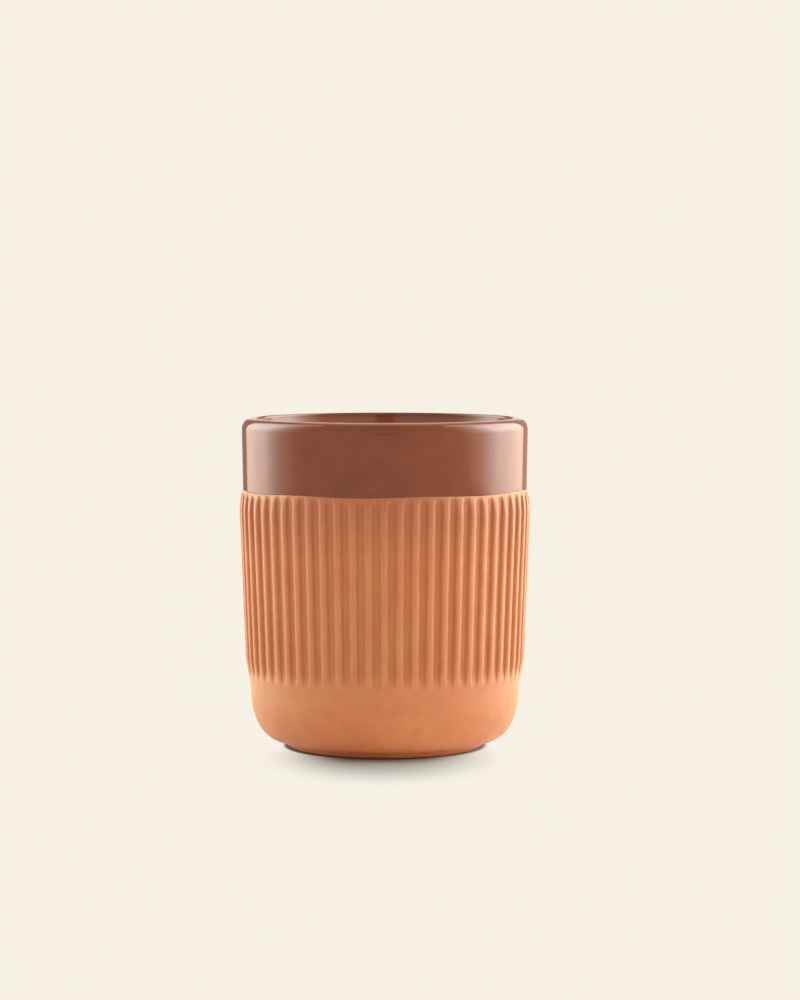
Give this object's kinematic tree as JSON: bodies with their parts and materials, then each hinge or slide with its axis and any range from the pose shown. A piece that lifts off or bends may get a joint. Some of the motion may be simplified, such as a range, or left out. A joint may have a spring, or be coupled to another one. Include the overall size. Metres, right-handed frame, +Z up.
{
  "type": "stoneware cup",
  "caption": "Handle-less stoneware drinking cup: fluted bare clay outside on a low foot ring, brown glaze inside, over the lip and on the smooth band above the shoulder.",
  "frame": {"origin": "on the ground, on the axis of the cup, in the plane of the foot ring's sole", "axes": "+Z up along the axis of the cup, -Y towards the viewer of the picture; a rib crest lies on the -Y axis"},
  "size_m": [0.08, 0.08, 0.0904],
  "materials": {
    "bare_clay": "matt fired red clay, unglazed, fine grained",
    "brown_glaze": "glossy reddish-brown glaze with fine pale specks"
  },
  "bodies": {
    "root": {"clay_body": "bare_clay", "liner_glaze": "brown_glaze", "band_glaze": "brown_glaze"}
  },
  "joints": []
}
